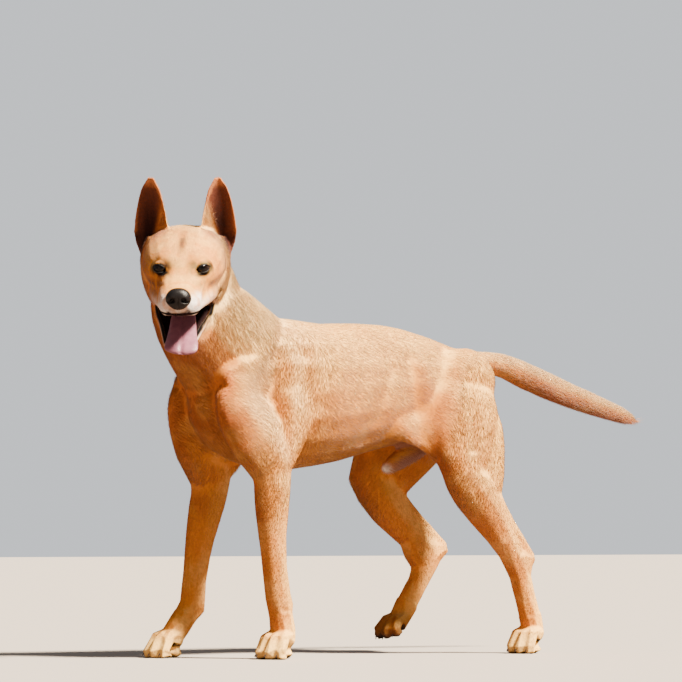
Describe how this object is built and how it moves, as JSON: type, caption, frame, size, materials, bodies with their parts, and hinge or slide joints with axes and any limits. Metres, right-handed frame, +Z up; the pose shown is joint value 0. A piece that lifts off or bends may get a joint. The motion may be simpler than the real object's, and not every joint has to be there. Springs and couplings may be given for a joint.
{
  "type": "dog",
  "caption": "Lean short-coated pariah-type dog with erect ears, standing in mid-step with one hind foot raised, mouth open and tail held out behind",
  "frame": {"origin": "on the floor under the middle of the bounding box", "axes": "-X is the way the body faces, -Y is its left side and +Z is up"},
  "size_m": [0.9416, 0.2616, 0.6967],
  "materials": {
    "coat": "short dense golden-tan hair, paler on the back and orange where it turns under",
    "pale_coat": "short cream hair on the toes",
    "eye": "wet dark-brown eyeball",
    "nose_leather": "damp, finely pebbled, near black",
    "tongue": "wet mauve-pink",
    "horn": "dark smooth claw horn"
  },
  "bodies": {
    "root": {"head": "coat", "lower_jaw": "coat", "neck": "coat", "trunk": "coat", "tail": "coat", "foreleg_left": "coat", "foreleg_right": "coat", "hindleg_left": "coat", "hindleg_right": "coat", "hock_left": "coat", "hock_right": "coat", "ear_left": "coat", "ear_right": "coat", "paw_fore_left": "pale_coat", "paw_fore_right": "pale_coat", "paw_hind_left": "pale_coat", "paw_hind_right": "pale_coat", "eye_left": "eye", "eye_right": "eye", "nose": "nose_leather", "tongue": "tongue", "claw_fore_left_outer": "horn", "claw_fore_left_mid_outer": "horn", "claw_fore_left_mid_inner": "horn", "claw_fore_left_inner": "horn", "claw_fore_right_outer": "horn", "claw_fore_right_mid_outer": "horn", "claw_fore_right_mid_inner": "horn", "claw_fore_right_inner": "horn", "claw_hind_left_outer": "horn", "claw_hind_left_mid_outer": "horn", "claw_hind_left_mid_inner": "horn", "claw_hind_left_inner": "horn", "claw_hind_right_outer": "horn", "claw_hind_right_mid_outer": "horn", "claw_hind_right_mid_inner": "horn", "claw_hind_right_inner": "horn"}
  },
  "joints": []
}
